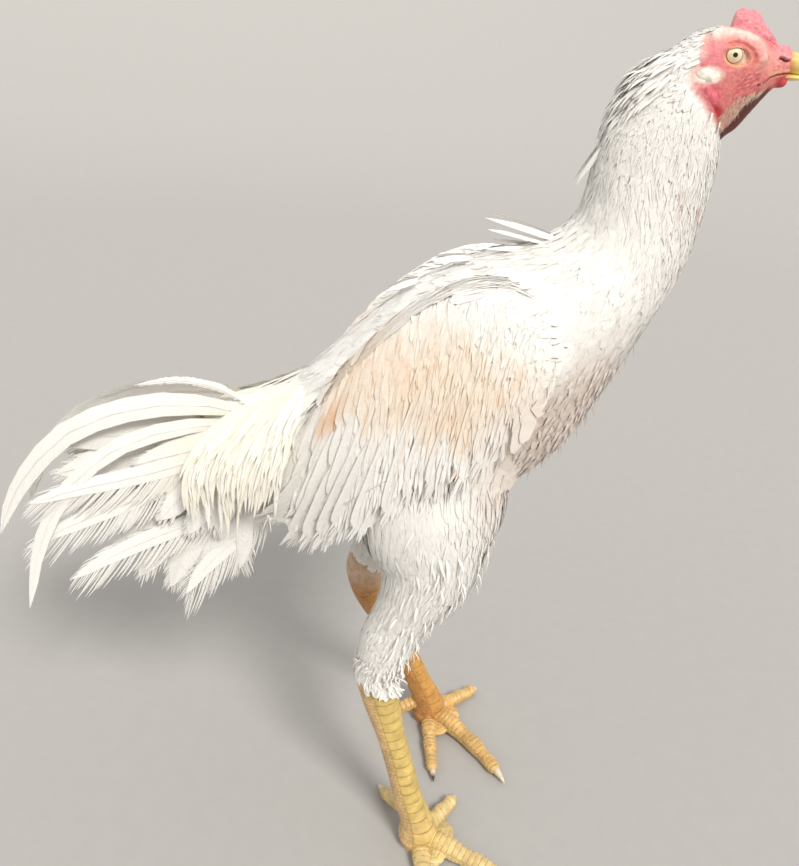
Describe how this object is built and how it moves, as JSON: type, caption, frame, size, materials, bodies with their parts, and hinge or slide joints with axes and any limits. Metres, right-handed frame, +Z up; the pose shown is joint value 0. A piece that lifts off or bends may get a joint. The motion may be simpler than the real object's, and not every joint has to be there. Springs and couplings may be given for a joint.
{
  "type": "aseel chicken, adult cock, still display model",
  "caption": "Life-size white aseel cock standing upright: pea comb, long neck, folded wings, curved tail, bare yellow legs.",
  "frame": {"origin": "on the floor, under the middle of the model's box", "axes": "+X the way the bird faces, +Y its left side, +Z up"},
  "size_m": [0.573, 0.2574, 0.677],
  "materials": {
    "feathers_white": "soft matte feathers",
    "skin_red": "bare folded skin",
    "comb_pink": "fleshy, finely pebbled",
    "beak_horn": "smooth horn",
    "eye_pearl": "wet gloss",
    "scales_yellow": "scuted skin",
    "claw_horn": "smooth horn"
  },
  "bodies": {
    "root": {"head": "skin_red", "comb": "comb_pink", "beak_upper": "beak_horn", "beak_lower": "beak_horn", "eye_left": "eye_pearl", "eye_right": "eye_pearl", "neck": "feathers_white", "torso": "feathers_white", "tail": "feathers_white", "wing_left": "feathers_white", "wing_right": "feathers_white", "thigh_left": "feathers_white", "thigh_right": "feathers_white", "shank_left": "scales_yellow", "shank_right": "scales_yellow", "foot_left": "scales_yellow", "foot_right": "scales_yellow", "toe_inner_left": "scales_yellow", "toe_middle_left": "scales_yellow", "toe_outer_left": "scales_yellow", "toe_hind_left": "scales_yellow", "toe_inner_right": "scales_yellow", "toe_middle_right": "scales_yellow", "toe_outer_right": "scales_yellow", "toe_hind_right": "scales_yellow", "claw_inner_left": "claw_horn", "claw_middle_left": "claw_horn", "claw_outer_left": "claw_horn", "claw_hind_left": "claw_horn", "claw_inner_right": "claw_horn", "claw_middle_right": "claw_horn", "claw_outer_right": "claw_horn", "claw_hind_right": "claw_horn"}
  },
  "joints": []
}
